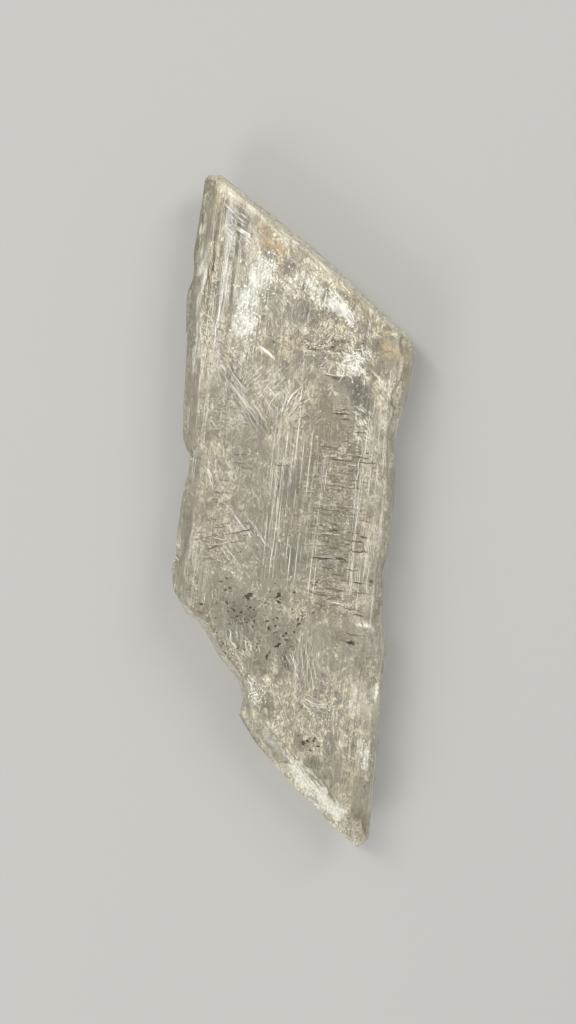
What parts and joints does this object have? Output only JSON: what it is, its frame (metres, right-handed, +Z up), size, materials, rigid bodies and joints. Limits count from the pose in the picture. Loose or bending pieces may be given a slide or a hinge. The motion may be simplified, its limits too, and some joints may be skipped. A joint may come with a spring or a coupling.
{
  "type": "selenite crystal blade",
  "caption": "Flat slanted blade of clear striated selenite with bevelled prism sides and angled ends, lying on a broad face for display.",
  "frame": {"origin": "under the middle of the crystal's box, on the broad face that it lies on", "axes": "+Y along the crystal's c axis towards the tip beside the long upper slant, +X across the blade, +Z up through its thickness"},
  "size_m": [0.0326, 0.0892, 0.0092],
  "materials": {
    "selenite": "clear grey-tan crystal, pearly to glassy, striated, with white veils, clay specks and rusty stains inside"
  },
  "bodies": {
    "root": {"selenite_blade": "selenite"}
  },
  "joints": []
}
